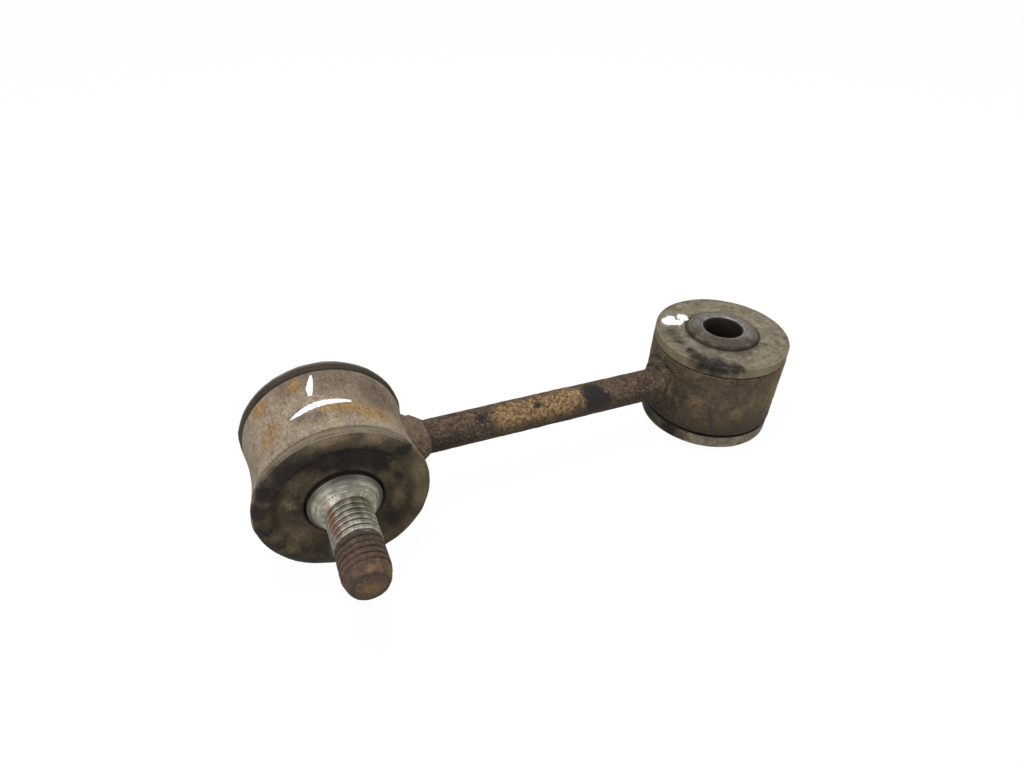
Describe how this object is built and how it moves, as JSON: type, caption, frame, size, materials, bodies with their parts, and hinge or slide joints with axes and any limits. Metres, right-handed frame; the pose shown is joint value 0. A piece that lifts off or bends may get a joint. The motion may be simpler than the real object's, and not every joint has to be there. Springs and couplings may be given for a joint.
{
  "type": "stabilizer link",
  "caption": "Short anti-roll bar link: a round rod welded between a waisted eye with a threaded stud in rubber and an eye, at right angles, with a bolt sleeve in rubber.",
  "frame": {"origin": "on the axis of the bolt bore, level with the rod's axis", "axes": "+X along the rod, away from the stud eye; +Z along the bolt bore; the stud points to -Y"},
  "size_m": [0.1686, 0.0653, 0.0452],
  "materials": {
    "rod_steel": "drawn bar, rusted and dusty",
    "stud_eye_steel": "pressed tube, dusty with orange rust",
    "bush_eye_steel": "tube, brown with rust and road dirt",
    "weld_steel": "arc weld bead, rusted",
    "stud_rubber": "moulded black rubber, dusty",
    "bush_rubber": "moulded black rubber under grey-tan dust",
    "stud_steel": "rolled thread, zinc plated, rusted towards the tip",
    "sleeve_steel": "turned sleeve, dark, worn bright at the bore"
  },
  "bodies": {
    "link": {"link_rod": "rod_steel", "stud_end_eye": "stud_eye_steel", "bush_end_eye": "bush_eye_steel", "stud_end_weld": "weld_steel", "bush_end_weld": "weld_steel"},
    "stud_rubber": {"stud_end_rubber": "stud_rubber"},
    "stud": {"threaded_stud": "stud_steel"},
    "bush_rubber": {"bush_end_rubber": "bush_rubber"},
    "bush_sleeve": {"bush_inner_sleeve": "sleeve_steel"}
  },
  "joints": [
    {"name": "stud_rock", "type": "hinge", "parent": "link", "child": "stud_rubber", "pos_m": [-0.125, -0.0012, 0], "axis": [0, 0, 1], "range_deg": [-6, 6], "stiffness_Nm_per_rad": 70, "deforming": ["stud_end_rubber"]},
    {"name": "stud_twist", "type": "hinge", "parent": "stud_rubber", "child": "stud", "pos_m": [-0.125, -0.0012, 0], "axis": [0, -1, 0], "range_deg": [-22, 22], "stiffness_Nm_per_rad": 40},
    {"name": "sleeve_rock", "type": "hinge", "parent": "link", "child": "bush_rubber", "pos_m": [0, 0, 0], "axis": [0, 1, 0], "range_deg": [-6, 6], "stiffness_Nm_per_rad": 70, "deforming": ["bush_end_rubber"]},
    {"name": "sleeve_twist", "type": "hinge", "parent": "bush_rubber", "child": "bush_sleeve", "pos_m": [0, 0, 0], "axis": [0, 0, 1], "range_deg": [-22, 22], "stiffness_Nm_per_rad": 40}
  ]
}
